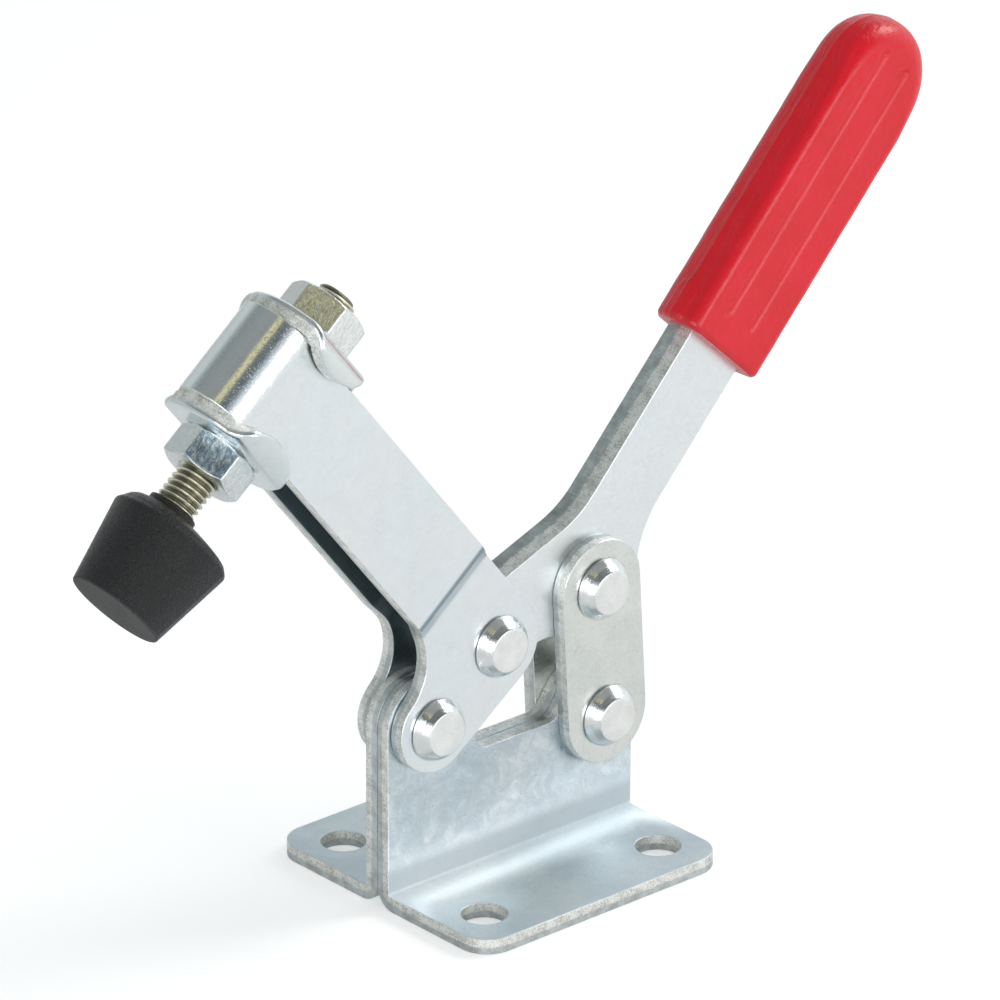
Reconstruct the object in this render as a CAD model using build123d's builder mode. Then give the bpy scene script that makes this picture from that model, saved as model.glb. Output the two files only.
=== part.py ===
from build123d import *
import os
from math import asin, atan2, cos, degrees, radians, sin, sqrt

os.makedirs("parts", exist_ok=True)

# Vertical-handle toggle clamp, in millimetres.
#
# The origin is the centre of the four mounting holes, on the underside of the base.
# +X points to the rear, where the handle stands, the spindle hangs over -X, and +Z is up.
# The mechanism is a four-bar linkage in the XZ plane: base, arm, handle and links.
# Angles in that plane are in degrees, counted from +X towards +Z.

# ---------------------------------------------------------------- driving dimensions

# Sheet, fits and play
SHEET = 3.0  # base plates, links and arm strip
PLATE_GAP = 0.1  # between the two base plates
SIDE_PLAY = 0.05  # between pieces that turn side by side
LEVER_PLAY = 0.1  # on each side of the handle lever
PIN_PLAY = 0.05  # radial, between a rivet shank and what turns on it
THREAD_PLAY = 0.05  # radial, between spindle and nuts
HOLE_PLAY = 0.3  # radial, between spindle and washers

# Base
FRONT_PIVOT_X = -20.5
FRONT_PIVOT_HEIGHT = 34.4
REAR_PIVOT_X = 20.4
REAR_PIVOT_HEIGHT = 24.6
FRONT_EAR = 8.9  # radius of the ear round the front pivot
REAR_EAR = 8.6
BASE_WIDTH = 58.0
BOLT_PITCH_X = 41.8
BOLT_PITCH_Y = 38.7
BOLT_HOLE = 4.2  # radius
FLANGE_CORNER = 6.0
FLANGE_BEND = 1.0  # inside radius
VALLEY_FLOOR = 25.4  # height of the cut between the ears
FRONT_WALL_ANGLE = 109.7
REAR_WALL_ANGLE = 53.6
VALLEY_FILLET = 3.0

# Linkage, at rest
ARM_DIRECTION = 128.4
ARM_CRANK = 19.0  # front pivot to arm pivot
HANDLE_CRANK = 24.7  # arm pivot to link pivot
LINK_LENGTH = 25.65  # link pivot to rear pivot
OPENING_SHARE = 0.2256  # opening travel past rest, as a share of the closing travel

# Rivets
RIVET_SHANK = 3.5  # radius
LINK_RIVET_SHANK = 2.75
RIVET_HEAD = 5.86
RIVET_TOP = 4.1
RIVET_RIM = 0.6
RIVET_HEIGHT = 2.85

# Arm
ARM_LENGTH = 91.9  # front pivot to nose
ARM_SLOT = 9.6  # between the two legs
ARM_EYE = 9.15  # radius round the arm pivot
ARM_HEEL = 8.35  # radius round the front pivot
ARM_DEPTH = 19.1  # width of the strip
THROAT = 10.5  # radius between heel and leg
JOGGLE_START = 16.6
JOGGLE_LENGTH = 3.4
JOGGLE_BEND = 1.5  # inside radius

# Handle lever
SHANK_WIDTH = 15.4
SHANK_OFFSET = 3.8  # from the shank's centre line to the link pivot
SHANK_ANGLE = 37.7  # between the shank and the line through its two pivots
SHANK_END = 111.0  # from the link pivot
SHANK_CORNER = 4.0
LEVER_EYE = 9.1
LEVER_FOOT = 11.2
SHOULDER_ANGLE = 26.2  # between the shank and the lever's top edge
SHOULDER_FILLET = 20.0
FLARE = 20.0  # radius between shank and foot
RELIEF_CLEARANCE = 0.6  # round the front ear and its wall, when closed
RELIEF_FILLET = 1.5
SLOT_CLEARANCE = 1.0

# Links
LINK_EYE = 9.3

# Grip, along the shank from the link pivot
GRIP_START = 47.5
GRIP_END = 116.6
GRIP_WALL = 3.0  # over the faces of the lever
GRIP_SIDE = 3.9  # over its edges
GRIP_ROUND = 5.5
FLUTE_MARGIN = 6.0  # from the mouth and from the round end
FLUTE_PITCH = 7.0
FLUTE_WIDTH = 2.2
FLUTE_DEPTH = 0.35

# Spindle set, along the spindle from the front pivot's level
SPINDLE_INSET = 13.55  # from the nose to the spindle
SPINDLE_RADIUS = 3.95
SPINDLE_TOP = 40.0
SPINDLE_FOOT = -21.0
SPINDLE_CHAMFER = 0.8
WASHER_RADIUS = 12.1
WASHER_THICKNESS = 3.1
WASHER_BEND = 0.5  # inside radius
WING_PLAY = 0.05  # between the arm and the start of a washer's bend
WING_HEIGHT = 2.25  # past the face that lies on the arm
NUT_WIDTH = 13.7  # across flats
NUT_HEIGHT = 6.5
NUT_CHAMFER_ANGLE = 30.0
LOWER_NUT_TURN = 12.5
UPPER_NUT_TURN = 5.0

# Rubber tip, along the spindle
TIP_FACE = -27.9
TIP_SHOULDER = -12.0
TIP_DOME = -8.9
TIP_TOP = -7.0
TIP_FACE_RADIUS = 9.0
TIP_SHOULDER_RADIUS = 11.75
TIP_DOME_RADIUS = 5.5
TIP_NECK_WALL = 0.8
TIP_SHOULDER_ROUND = 1.2
TIP_OFFSET = 1.85  # the rubber sits this far off the spindle, both ways


# ---------------------------------------------------------------- points and angles


def polar(length, angle, start=(0, 0)):
    """The point at a distance and an angle from a start point."""
    return Vector(start) + Vector(length * cos(radians(angle)), length * sin(radians(angle)))


def direction(start, end):
    """The angle of the line from start to end."""
    return degrees(atan2(end.Y - start.Y, end.X - start.X))


def turned(point, angle):
    """A point turned about the origin."""
    return polar(point.length, direction(Vector(0, 0), point) + angle)


def upper_meeting(first, first_radius, second, second_radius):
    """The upper point where two circles meet; the first circle is the front one."""
    apart = second - first
    along = (first_radius**2 - second_radius**2 + apart.length**2) / (2 * apart.length)
    height = sqrt(first_radius**2 - along**2)
    return polar(first_radius, direction(first, second) + degrees(atan2(height, along)), first)


def tangent_angle(start, start_radius, end, end_radius):
    """Between the line of centres and the normal of a line that touches both circles."""
    return 90 + degrees(asin((end_radius - start_radius) / (end - start).length))


def crossing(point, angle, height):
    """Where a line through a point, at an angle, reaches a height."""
    rise = height - point.Y
    return Vector(point.X + rise * cos(radians(angle)) / sin(radians(angle)), height)


# ---------------------------------------------------------------- linkage at rest and closed

FRONT_PIVOT = Vector(FRONT_PIVOT_X, FRONT_PIVOT_HEIGHT)
REAR_PIVOT = Vector(REAR_PIVOT_X, REAR_PIVOT_HEIGHT)
crank_direction = ARM_DIRECTION - 90
arm_pivot = polar(ARM_CRANK, crank_direction, FRONT_PIVOT)
link_pivot = upper_meeting(arm_pivot, HANDLE_CRANK, REAR_PIVOT, LINK_LENGTH)
lever_direction = direction(arm_pivot, link_pivot)
link_direction = direction(REAR_PIVOT, link_pivot)
shank_direction = lever_direction + SHANK_ANGLE

# At dead centre handle and links lie in one line, which locks the clamp.
closed_arm_pivot = upper_meeting(FRONT_PIVOT, ARM_CRANK, REAR_PIVOT, HANDLE_CRANK + LINK_LENGTH)
closed_lever_direction = direction(closed_arm_pivot, REAR_PIVOT)
closed_link_pivot = polar(HANDLE_CRANK, closed_lever_direction, closed_arm_pivot)
arm_travel = direction(FRONT_PIVOT, closed_arm_pivot) - crank_direction
lever_travel = closed_lever_direction - lever_direction
link_travel = closed_lever_direction + 180 - link_direction


def link_pivot_drift(share):
    """Where the links hold their pivot, seen from the lever, at a share of the closing travel.

    Each piece turns in proportion to the arm, so between rest and closed the pivot
    wanders a little in the lever, and the lever's hole is a slot that follows it.
    """
    arm_end = polar(ARM_CRANK, crank_direction + arm_travel * share, FRONT_PIVOT)
    lever_end = polar(HANDLE_CRANK, lever_direction + lever_travel * share, arm_end)
    link_end = polar(LINK_LENGTH, link_direction + link_travel * share, REAR_PIVOT)
    return turned(link_end - lever_end, -(shank_direction + lever_travel * share))


# ---------------------------------------------------------------- layers across the clamp

plate_face = PLATE_GAP / 2 + SHEET
lug_inner = plate_face + SIDE_PLAY
lug_outer = lug_inner + SHEET
head_seat = lug_outer + SIDE_PLAY
lever_half = lug_inner - LEVER_PLAY
leg_inner = ARM_SLOT / 2
leg_outer = leg_inner + SHEET


def side_plane(origin, angle=0):
    """A plane in the clamp's middle, with its x along an angle in the XZ plane."""
    return Plane((origin.X, 0, origin.Y), x_dir=(cos(radians(angle)), 0, sin(radians(angle))), z_dir=(0, -1, 0))


def finish(part, name):
    part.label = name
    export_step(part, f"parts/{name}.step")


# ---------------------------------------------------------------- base plates

base_front = FRONT_PIVOT.X - FRONT_EAR
base_rear = REAR_PIVOT.X + REAR_EAR

with BuildSketch(Plane.XZ) as web_outline:
    wall_top = polar(FRONT_EAR, FRONT_WALL_ANGLE - 90, FRONT_PIVOT)
    wall_foot = crossing(wall_top, FRONT_WALL_ANGLE, VALLEY_FLOOR)
    slope_top = polar(REAR_EAR, REAR_WALL_ANGLE + 90, REAR_PIVOT)
    slope_foot = crossing(slope_top, REAR_WALL_ANGLE, VALLEY_FLOOR)
    with BuildLine():
        Polyline(
            (base_front, 0),
            (base_front, FRONT_PIVOT.Y),
            FRONT_PIVOT,
            wall_top,
            wall_foot,
            slope_foot,
            slope_top,
            REAR_PIVOT,
            (base_rear, REAR_PIVOT.Y),
            (base_rear, 0),
            close=True,
        )
    make_face()
    valley = [v for v in web_outline.vertices() if (v.center() - wall_foot).length < SHEET / 100]
    valley += [v for v in web_outline.vertices() if (v.center() - slope_foot).length < SHEET / 100]
    fillet(valley, radius=VALLEY_FILLET)
    with Locations(FRONT_PIVOT):
        Circle(FRONT_EAR)
    with Locations(REAR_PIVOT):
        Circle(REAR_EAR)
    with Locations(FRONT_PIVOT, REAR_PIVOT):
        Circle(RIVET_SHANK, mode=Mode.SUBTRACT)

with BuildPart() as base_plate_left:
    web_top = FRONT_PIVOT.Y + FRONT_EAR + REAR_EAR
    with BuildSketch(Plane.YZ.offset(base_front)):
        with BuildLine():
            Polyline(
                (-PLATE_GAP / 2, 0),
                (-BASE_WIDTH / 2, 0),
                (-BASE_WIDTH / 2, SHEET),
                (-plate_face, SHEET),
                (-plate_face, web_top),
                (-PLATE_GAP / 2, web_top),
                close=True,
            )
        section = make_face()
        fillet(section.vertices().sort_by_distance((-PLATE_GAP / 2, 0))[0], radius=FLANGE_BEND + SHEET)
        fillet(section.vertices().sort_by_distance((-plate_face, SHEET))[0], radius=FLANGE_BEND)
    extrude(amount=base_rear - base_front)
    extrude(web_outline.sketch, amount=BASE_WIDTH / 2, mode=Mode.INTERSECT)
    fillet(base_plate_left.edges().filter_by(Axis.Z).group_by(Axis.Y)[0], radius=FLANGE_CORNER)
    with BuildSketch():
        with GridLocations(BOLT_PITCH_X, BOLT_PITCH_Y, 2, 2):
            Circle(BOLT_HOLE)
    extrude(amount=SHEET, mode=Mode.SUBTRACT)

finish(base_plate_left.part, "base_plate_left")

with BuildPart() as base_plate_right:
    mirror(base_plate_left.part, about=Plane.XZ)

finish(base_plate_right.part, "base_plate_right")


# ---------------------------------------------------------------- rivets


def make_rivet(name, pivot, shank):
    """A solid rivet across the clamp, with a bevelled flat head at each end."""
    with BuildPart() as rivet:
        with BuildSketch(Plane((pivot.X, 0, pivot.Y))):
            with BuildLine():
                Polyline(
                    (0, 0),
                    (shank, 0),
                    (shank, head_seat),
                    (RIVET_HEAD, head_seat),
                    (RIVET_HEAD, head_seat + RIVET_RIM),
                    (RIVET_TOP, head_seat + RIVET_HEIGHT),
                    (0, head_seat + RIVET_HEIGHT),
                    close=True,
                )
            make_face()
            mirror(about=Plane.XZ)
        revolve(axis=Axis((pivot.X, 0, pivot.Y), (0, 1, 0)))
    finish(rivet.part, name)


make_rivet("front_pivot_rivet", FRONT_PIVOT, RIVET_SHANK)
make_rivet("rear_pivot_rivet", REAR_PIVOT, RIVET_SHANK)
make_rivet("arm_rivet", arm_pivot, RIVET_SHANK)
make_rivet("link_rivet", link_pivot, LINK_RIVET_SHANK)


# ---------------------------------------------------------------- arm

# The arm's own frame: u runs along the arm, s runs up through the spindle.
arm_frame = Plane(
    (FRONT_PIVOT.X, 0, FRONT_PIVOT.Y),
    x_dir=(cos(radians(ARM_DIRECTION)), 0, sin(radians(ARM_DIRECTION))),
    z_dir=(0, 1, 0),
)
arm_top = ARM_CRANK + ARM_EYE
arm_bottom = arm_top - ARM_DEPTH
spindle_position = ARM_LENGTH - SPINDLE_INSET


def across_spindle(along_arm, level):
    """A plane across the spindle's direction; its x runs along the arm."""
    origin = arm_frame.from_local_coords(Vector(along_arm, level, 0))
    return Plane(origin, x_dir=arm_frame.x_dir, z_dir=arm_frame.y_dir)


with BuildPart() as clamp_arm:
    # One strip, bent to a U and joggled in to the lugs, seen from above.
    with BuildSketch(across_spindle(0, -ARM_HEEL)) as strip:
        nose_centre = ARM_LENGTH - leg_outer
        behind = -ARM_EYE - 2 * SHEET
        joggle_end = JOGGLE_START + JOGGLE_LENGTH
        with BuildLine():
            lug = Line((behind, lug_outer), (JOGGLE_START, lug_outer))
            slope = Line(lug @ 1, (joggle_end, leg_outer))
            leg = Line(slope @ 1, (nose_centre, leg_outer))
            CenterArc((nose_centre, 0), leg_outer, 90, -180)
            far_leg = Line((nose_centre, -leg_outer), (joggle_end, -leg_outer))
            far_slope = Line(far_leg @ 1, (JOGGLE_START, -lug_outer))
            far_lug = Line(far_slope @ 1, (behind, -lug_outer))
            Line(far_lug @ 1, lug @ 0)
        make_face()
        for side in (1, -1):
            inward = strip.vertices().sort_by_distance((JOGGLE_START, side * lug_outer))[0]
            fillet(inward, radius=JOGGLE_BEND)
            outward = strip.vertices().sort_by_distance((joggle_end, side * leg_outer))[0]
            fillet(outward, radius=JOGGLE_BEND + SHEET)
        offset(amount=-SHEET, mode=Mode.SUBTRACT)
    extrude(amount=ARM_HEEL + arm_top)
    # The side view: leg, two eyes, and the throat that clears the base.
    with BuildSketch(arm_frame) as arm_side:
        crank_end = Vector(0, ARM_CRANK)
        heel = Vector(0, 0)
        lean = tangent_angle(heel, ARM_HEEL, crank_end, ARM_EYE)
        throat_level = arm_bottom - THROAT
        throat_centre = Vector(sqrt((ARM_HEEL + THROAT) ** 2 - throat_level**2), throat_level)
        toward_throat = direction(heel, throat_centre)
        with BuildLine():
            lower = Line((ARM_LENGTH, arm_bottom), (throat_centre.X, arm_bottom))
            CenterArc(throat_centre, THROAT, 90, toward_throat + 90)
            CenterArc(heel, ARM_HEEL, toward_throat, lean - 270 - toward_throat)
            Line(polar(ARM_HEEL, 90 + lean), polar(ARM_EYE, 90 + lean, crank_end))
            CenterArc(crank_end, ARM_EYE, 90 + lean, -lean)
            upper = Line((0, arm_top), (ARM_LENGTH, arm_top))
            Line(upper @ 1, lower @ 0)
        make_face()
        Circle(RIVET_SHANK + PIN_PLAY, mode=Mode.SUBTRACT)
        with Locations(crank_end):
            Circle(RIVET_SHANK, mode=Mode.SUBTRACT)
    extrude(amount=leg_outer, both=True, mode=Mode.INTERSECT)

finish(clamp_arm.part, "clamp_arm")


# ---------------------------------------------------------------- handle lever

# The lever's own frame: x runs up the shank from the link pivot, y towards the front.
lever_frame = side_plane(link_pivot, shank_direction)
eye_centre = polar(HANDLE_CRANK, 180 - SHANK_ANGLE)
foot_centre = Vector(0, 0)
shank_front = SHANK_OFFSET + SHANK_WIDTH / 2
shank_rear = SHANK_OFFSET - SHANK_WIDTH / 2
closed_shank_direction = shank_direction + lever_travel
closed_front_pivot = turned(FRONT_PIVOT - closed_link_pivot, -closed_shank_direction)

with BuildSketch(lever_frame) as lever_outline:
    eye_touch = 90 - SHOULDER_ANGLE
    shoulder = crossing(polar(LEVER_EYE, eye_touch, eye_centre), -SHOULDER_ANGLE, shank_front)
    under_touch = -SHANK_ANGLE - tangent_angle(eye_centre, LEVER_EYE, foot_centre, LEVER_FOOT)
    flare_reach = sqrt((FLARE + LEVER_FOOT) ** 2 - (FLARE - shank_rear) ** 2)
    flare_centre = Vector(flare_reach, shank_rear - FLARE)
    toward_flare = direction(foot_centre, flare_centre)
    with BuildLine():
        front_edge = Line((SHANK_END, shank_front), shoulder)
        top_edge = Line(front_edge @ 1, polar(LEVER_EYE, eye_touch, eye_centre))
        CenterArc(eye_centre, LEVER_EYE, eye_touch, under_touch + 360 - eye_touch)
        Line(polar(LEVER_EYE, under_touch, eye_centre), polar(LEVER_FOOT, under_touch))
        CenterArc(foot_centre, LEVER_FOOT, under_touch, toward_flare - under_touch)
        CenterArc(flare_centre, FLARE, toward_flare + 180, -90 - toward_flare)
        rear_edge = Line((flare_centre.X, shank_rear), (SHANK_END, shank_rear))
        Line(rear_edge @ 1, front_edge @ 0)
    make_face()
    fillet(lever_outline.vertices().sort_by_distance(shoulder)[0], radius=SHOULDER_FILLET)
    shank_corners = lever_outline.vertices().group_by(Axis.X)[-1]
    fillet(shank_corners, radius=SHANK_CORNER)
    # The relief fits over the front ear when the clamp is closed.
    before = lever_outline.vertices()
    along_wall = polar(FRONT_EAR, FRONT_WALL_ANGLE + 180 - closed_shank_direction, closed_front_pivot)
    relief = FRONT_EAR + RELIEF_CLEARANCE
    SlotCenterPoint(along_wall, closed_front_pivot, 2 * relief, mode=Mode.SUBTRACT)
    fillet(lever_outline.vertices() - before, radius=RELIEF_FILLET)

with BuildPart() as handle_lever:
    extrude(lever_outline.sketch, amount=lever_half, both=True)
    with BuildSketch(lever_frame):
        with Locations(eye_centre):
            Circle(RIVET_SHANK + PIN_PLAY)
        opening_drift = link_pivot_drift(-OPENING_SHARE)
        closing_drift = link_pivot_drift(0.5)
        with BuildLine(mode=Mode.PRIVATE) as drift:
            ThreePointArc(closing_drift, link_pivot_drift(0), opening_drift)
        SlotArc(drift.wire(), height=2 * (LINK_RIVET_SHANK + SLOT_CLEARANCE))
    extrude(amount=lever_half, both=True, mode=Mode.SUBTRACT)

finish(handle_lever.part, "handle_lever")


# ---------------------------------------------------------------- links


def make_link(name, side):
    """A flat obround link on one side of the lever."""
    link_plane = side_plane((REAR_PIVOT + link_pivot) / 2, link_direction)
    with BuildPart() as link:
        with BuildSketch(link_plane.offset(-side * (lug_inner + SHEET / 2))):
            SlotCenterToCenter(LINK_LENGTH, 2 * LINK_EYE)
            with Locations((LINK_LENGTH / 2, 0)):
                Circle(LINK_RIVET_SHANK, mode=Mode.SUBTRACT)
            with Locations((-LINK_LENGTH / 2, 0)):
                Circle(RIVET_SHANK + PIN_PLAY, mode=Mode.SUBTRACT)
        extrude(amount=SHEET / 2, both=True)
    finish(link.part, name)


make_link("link_left", -1)
make_link("link_right", 1)


# ---------------------------------------------------------------- grip

grip_half = lever_half + GRIP_WALL
grip_width = SHANK_WIDTH + 2 * GRIP_SIDE
grip_top = GRIP_END - grip_width / 2

with BuildPart() as handle_grip:
    with BuildSketch(lever_frame) as grip_outline:
        with Locations(((GRIP_START + grip_top) / 2, SHANK_OFFSET)):
            Rectangle(grip_top - GRIP_START, grip_width)
        with Locations((grip_top, SHANK_OFFSET)):
            Circle(grip_width / 2)
    extrude(amount=grip_half, both=True)
    mouth = handle_grip.faces().sort_by(Axis(lever_frame.origin, lever_frame.x_dir))[0]
    rims = handle_grip.faces().filter_by(Axis.Y).edges() - mouth.edges()
    fillet(rims, radius=min(GRIP_ROUND, 0.92 * grip_half))
    # Shallow flutes along both broad faces.
    for side in (-1, 1):
        flute_plane = lever_frame.offset(side * (grip_half - FLUTE_DEPTH))
        flute_start = GRIP_START + FLUTE_MARGIN
        flute_end = GRIP_END - GRIP_ROUND - FLUTE_MARGIN / 2
        with BuildSketch(flute_plane):
            with Locations(((flute_start + flute_end) / 2, SHANK_OFFSET)):
                with GridLocations(0, FLUTE_PITCH, 1, 2):
                    SlotOverall(flute_end - flute_start, FLUTE_WIDTH)
        extrude(amount=side * FLUTE_DEPTH, mode=Mode.SUBTRACT)
    # The pocket for the shank.
    with BuildSketch(lever_frame):
        with Locations(((GRIP_START + SHANK_END) / 2, SHANK_OFFSET)):
            Rectangle(SHANK_END - GRIP_START, SHANK_WIDTH)
    extrude(amount=lever_half, both=True, mode=Mode.SUBTRACT)

finish(handle_grip.part, "handle_grip")


# ---------------------------------------------------------------- flanged washers


def make_washer(name, face, outward):
    """A round blank on one edge of the arm, with two sides bent over the arm's legs.

    face is the level of the arm's edge, and outward is the way the disc grows from it.
    """
    bend_start = leg_outer + WING_PLAY
    chord = sqrt(WASHER_RADIUS**2 - bend_start**2)
    bend_length = radians(90) * (WASHER_BEND + WASHER_THICKNESS / 2)
    # The blank's outline past the bend line is an arc through the ends of that line.
    depth = bend_length + WING_HEIGHT - WASHER_BEND
    lobe = (chord**2 + depth**2) / (2 * depth)
    seat = across_spindle(spindle_position, face)
    away = arm_frame.y_dir * outward
    with BuildPart() as washer:
        with BuildSketch(seat):
            Circle(WASHER_RADIUS)
            Rectangle(2 * WASHER_RADIUS, 2 * bend_start, mode=Mode.INTERSECT)
            Circle(SPINDLE_RADIUS + HOLE_PLAY, mode=Mode.SUBTRACT)
        extrude(amount=WASHER_THICKNESS, dir=away)
        for side in (Vector(0, 1, 0), Vector(0, -1, 0)):
            bend_axis = seat.origin + side * bend_start - away * WASHER_BEND
            for turn in (0, 30, 60, 90):
                radial = away * cos(radians(turn)) + side * sin(radians(turn))
                middle = bend_axis + radial * (WASHER_BEND + WASHER_THICKNESS / 2)
                past = depth - bend_length * turn / 90
                width = 2 * sqrt(lobe**2 - (lobe - past) ** 2)
                with BuildSketch(Plane(middle, x_dir=seat.x_dir, z_dir=seat.x_dir.cross(radial))):
                    Rectangle(width, WASHER_THICKNESS)
            loft()
            wing_plane = Plane(bend_axis + side * WASHER_BEND, x_dir=seat.x_dir, z_dir=seat.x_dir.cross(away))
            with BuildSketch(wing_plane):
                with Locations((0, lobe + WASHER_BEND - WING_HEIGHT)):
                    Circle(lobe)
                with Locations((0, -lobe)):
                    Rectangle(2 * lobe, 2 * lobe, mode=Mode.INTERSECT)
            extrude(amount=WASHER_THICKNESS, dir=side)
    finish(washer.part, name)


make_washer("lower_flanged_washer", arm_bottom, -1)
make_washer("upper_flanged_washer", arm_top, 1)


# ---------------------------------------------------------------- nuts


def make_nut(name, bottom, turn):
    """A hexagon nut, chamfered at both ends."""
    corner = NUT_WIDTH / 2 / cos(radians(30))
    drop = (corner - NUT_WIDTH / 2) * sin(radians(NUT_CHAMFER_ANGLE)) / cos(radians(NUT_CHAMFER_ANGLE))
    base = across_spindle(spindle_position, bottom)
    section = Plane(base.origin, x_dir=base.x_dir, z_dir=base.y_dir)
    with BuildPart() as nut:
        with BuildSketch(base):
            RegularPolygon(NUT_WIDTH / 2, 6, major_radius=False, rotation=turn)
            Circle(SPINDLE_RADIUS + THREAD_PLAY, mode=Mode.SUBTRACT)
        extrude(amount=NUT_HEIGHT)
        up = 1 if section.y_dir.dot(base.z_dir) > 0 else -1
        with BuildSketch(section):
            with BuildLine():
                Polyline(
                    (0, 0),
                    (NUT_WIDTH / 2, 0),
                    (corner, up * drop),
                    (corner, up * (NUT_HEIGHT - drop)),
                    (NUT_WIDTH / 2, up * NUT_HEIGHT),
                    (0, up * NUT_HEIGHT),
                    close=True,
                )
            make_face()
        revolve(axis=Axis(base.origin, base.z_dir), mode=Mode.INTERSECT)
    finish(nut.part, name)


make_nut("lower_nut", arm_bottom - WASHER_THICKNESS - NUT_HEIGHT, LOWER_NUT_TURN)
make_nut("upper_nut", arm_top + WASHER_THICKNESS, UPPER_NUT_TURN)


# ---------------------------------------------------------------- spindle and rubber tip

spindle_foot = across_spindle(spindle_position, SPINDLE_FOOT)

with BuildPart() as spindle:
    with BuildSketch(spindle_foot):
        Circle(SPINDLE_RADIUS)
    extrude(amount=SPINDLE_TOP - SPINDLE_FOOT)
    chamfer(spindle.edges().filter_by(GeomType.CIRCLE), length=SPINDLE_CHAMFER)

finish(spindle.part, "spindle")

# The body's profile is drawn in the arm's frame, where y is the level along the spindle.
tip_axis = arm_frame.from_local_coords(Vector(spindle_position - TIP_OFFSET, 0, 0)) - Vector(0, TIP_OFFSET, 0)
tip_plane = Plane(tip_axis, x_dir=arm_frame.x_dir, z_dir=(0, 1, 0))

with BuildPart() as rubber_tip:
    with BuildSketch(tip_plane) as tip_profile:
        dome_bulge = Vector((TIP_DOME_RADIUS + TIP_SHOULDER_RADIUS) / 2, (TIP_DOME + TIP_SHOULDER) / 2)
        dome_bulge += Vector(0, (TIP_DOME - TIP_SHOULDER) / 6)
        with BuildLine():
            dome = ThreePointArc((TIP_DOME_RADIUS, TIP_DOME), dome_bulge, (TIP_SHOULDER_RADIUS, TIP_SHOULDER))
            Polyline(dome @ 1, (TIP_FACE_RADIUS, TIP_FACE), (0, TIP_FACE), (0, TIP_DOME), dome @ 0)
        make_face()
        shoulder_edge = tip_profile.vertices().sort_by_distance(dome @ 1)[0]
        fillet(shoulder_edge, radius=TIP_SHOULDER_ROUND)
    revolve(axis=Axis(tip_axis, spindle_foot.z_dir))
    with BuildSketch(spindle_foot):
        Circle(SPINDLE_RADIUS + TIP_NECK_WALL)
    extrude(amount=TIP_TOP - SPINDLE_FOOT)
    with BuildSketch(spindle_foot):
        Circle(SPINDLE_RADIUS)
    extrude(amount=TIP_TOP - SPINDLE_FOOT, mode=Mode.SUBTRACT)

finish(rubber_tip.part, "rubber_tip")
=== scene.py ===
# %% [markdown]
# A vertical-handle toggle clamp: bright zinc-plated steel sheet, solid rivets, two hexagon
# nuts on a threaded spindle, a rubber tip and a red dipped grip. The solids come packed in
# one frame, in metres, and each piece is dressed or rebuilt here around them, so it stays
# where the mechanism needs it.

import math

import bmesh
import bpy
import numpy as np
from mathutils import Matrix, Vector


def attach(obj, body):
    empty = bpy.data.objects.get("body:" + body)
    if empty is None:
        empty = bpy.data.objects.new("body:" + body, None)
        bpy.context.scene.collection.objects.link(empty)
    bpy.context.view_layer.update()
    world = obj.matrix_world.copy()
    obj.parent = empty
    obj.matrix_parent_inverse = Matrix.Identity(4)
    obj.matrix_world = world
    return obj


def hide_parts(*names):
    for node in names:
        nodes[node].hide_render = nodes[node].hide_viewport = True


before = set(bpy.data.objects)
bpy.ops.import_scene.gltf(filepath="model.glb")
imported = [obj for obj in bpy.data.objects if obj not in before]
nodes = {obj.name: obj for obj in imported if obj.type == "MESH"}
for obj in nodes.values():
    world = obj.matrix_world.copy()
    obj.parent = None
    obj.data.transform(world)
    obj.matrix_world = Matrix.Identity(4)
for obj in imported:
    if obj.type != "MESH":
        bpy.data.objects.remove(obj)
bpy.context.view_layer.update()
MM = 0.001
print("nodes:", ", ".join(sorted(nodes)))

# %% [markdown]
# The clamp is seen from its front left, a little from above, through a long lens, so that
# parallel edges stay nearly parallel. The camera is placed by its three axes.

# %% Camera
CAMERA_PLACE = Vector((-910.30, -1033.13, 681.35)) * MM
CAMERA_RIGHT = Vector((0.75136, -0.65989, 0.00312))
CAMERA_UP = Vector((0.26527, 0.30637, 0.91420))
SENSOR = 36.0
FOCAL_IN_FRAMES = 8.46429


def in_scene(name, data):
    """A new object that shows a mesh, a camera or a lamp."""
    made = bpy.data.objects.new(name, data)
    bpy.context.scene.collection.objects.link(made)
    return made


camera_data = bpy.data.cameras.new("camera")
camera_data.sensor_width = SENSOR
camera_data.lens = FOCAL_IN_FRAMES * SENSOR
camera_data.clip_start, camera_data.clip_end = 0.05, 20
camera = in_scene("camera", camera_data)
backward = CAMERA_RIGHT.cross(CAMERA_UP)
camera.matrix_world = Matrix((CAMERA_RIGHT, CAMERA_UP, backward)).transposed().to_4x4()
camera.matrix_world.translation = CAMERA_PLACE
bpy.context.scene.camera = camera
bpy.context.scene.view_settings.view_transform = "Standard"
print("camera", round(camera_data.lens, 1), "mm")

# %% [markdown]
# The mechanism is flat: everything turns about axes along Y. Each family of pieces has its
# own frame in that plane, the same ones that the solids were drawn in. The arm's frame runs
# along the arm and up the spindle, and the lever's frame runs up the shank. Working in these
# frames keeps every number a plain length from a drawing, in millimetres.

# %% Frames of the pieces
SIDE = np.array([0.0, 1.0, 0.0])


def slanted(angle):
    """The unit vector in the XZ plane at an angle from +X towards +Z, in degrees."""
    return np.array([math.cos(math.radians(angle)), 0.0, math.sin(math.radians(angle))])


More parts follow.
